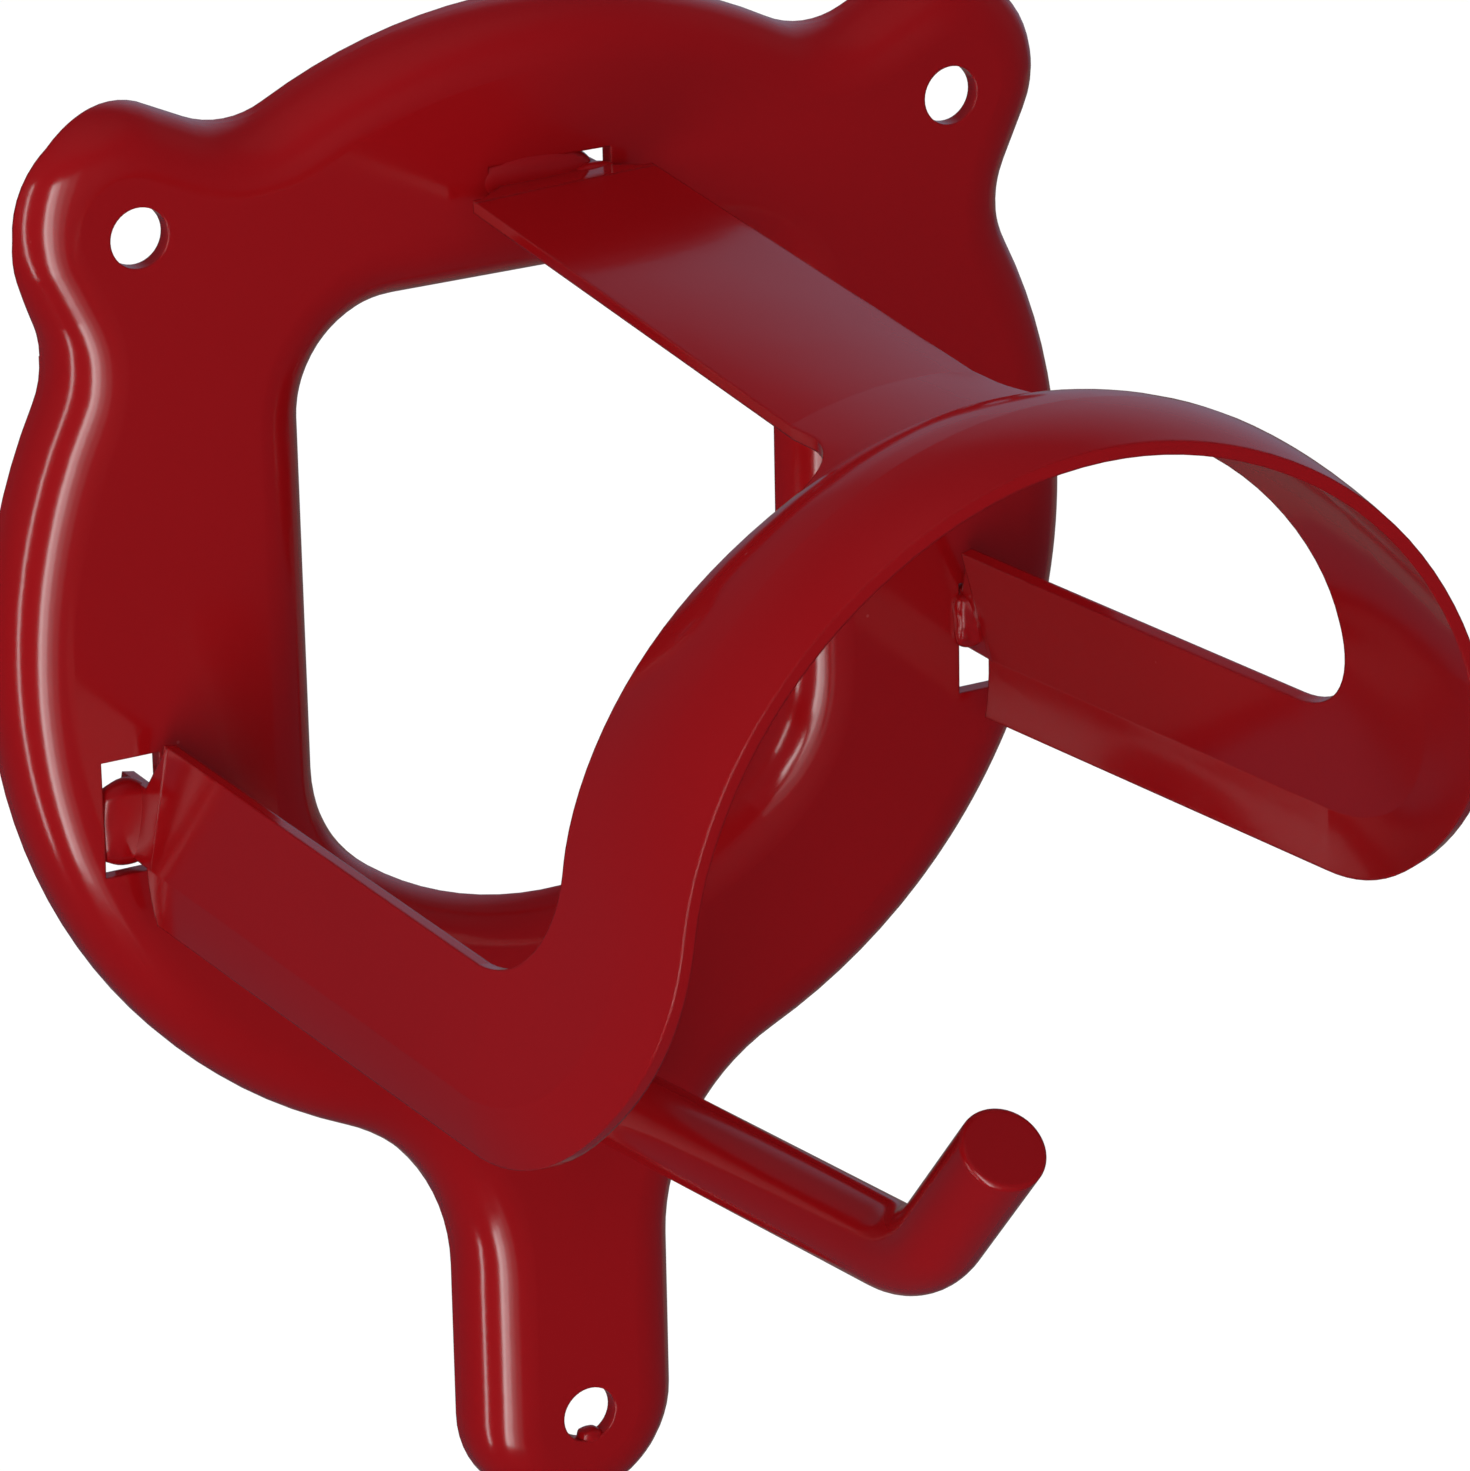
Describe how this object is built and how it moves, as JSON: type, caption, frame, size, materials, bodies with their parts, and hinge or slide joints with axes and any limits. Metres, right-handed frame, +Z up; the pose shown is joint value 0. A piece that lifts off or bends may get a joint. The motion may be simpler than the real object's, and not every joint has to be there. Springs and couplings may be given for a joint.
{
  "type": "bridle hanger",
  "caption": "Wall-mounted bridle hanger: dished plate with ears and tail, a formed arched rest on arms slotted into it, and a bent rod hook below.",
  "frame": {"origin": "midway between the two upper screw holes, on the front face of the back plate", "axes": "+X across to the viewer's right, +Y into the wall, +Z up; the rest and the hook stand out towards -Y"},
  "size_m": [0.139, 0.122, 0.1892],
  "materials": {
    "red_paint_plate": "gloss",
    "red_paint_rest": "gloss",
    "red_paint_rod": "gloss"
  },
  "bodies": {
    "root": {"back_plate": "red_paint_plate", "bridle_rest": "red_paint_rest", "rod_hook": "red_paint_rod"}
  },
  "joints": []
}
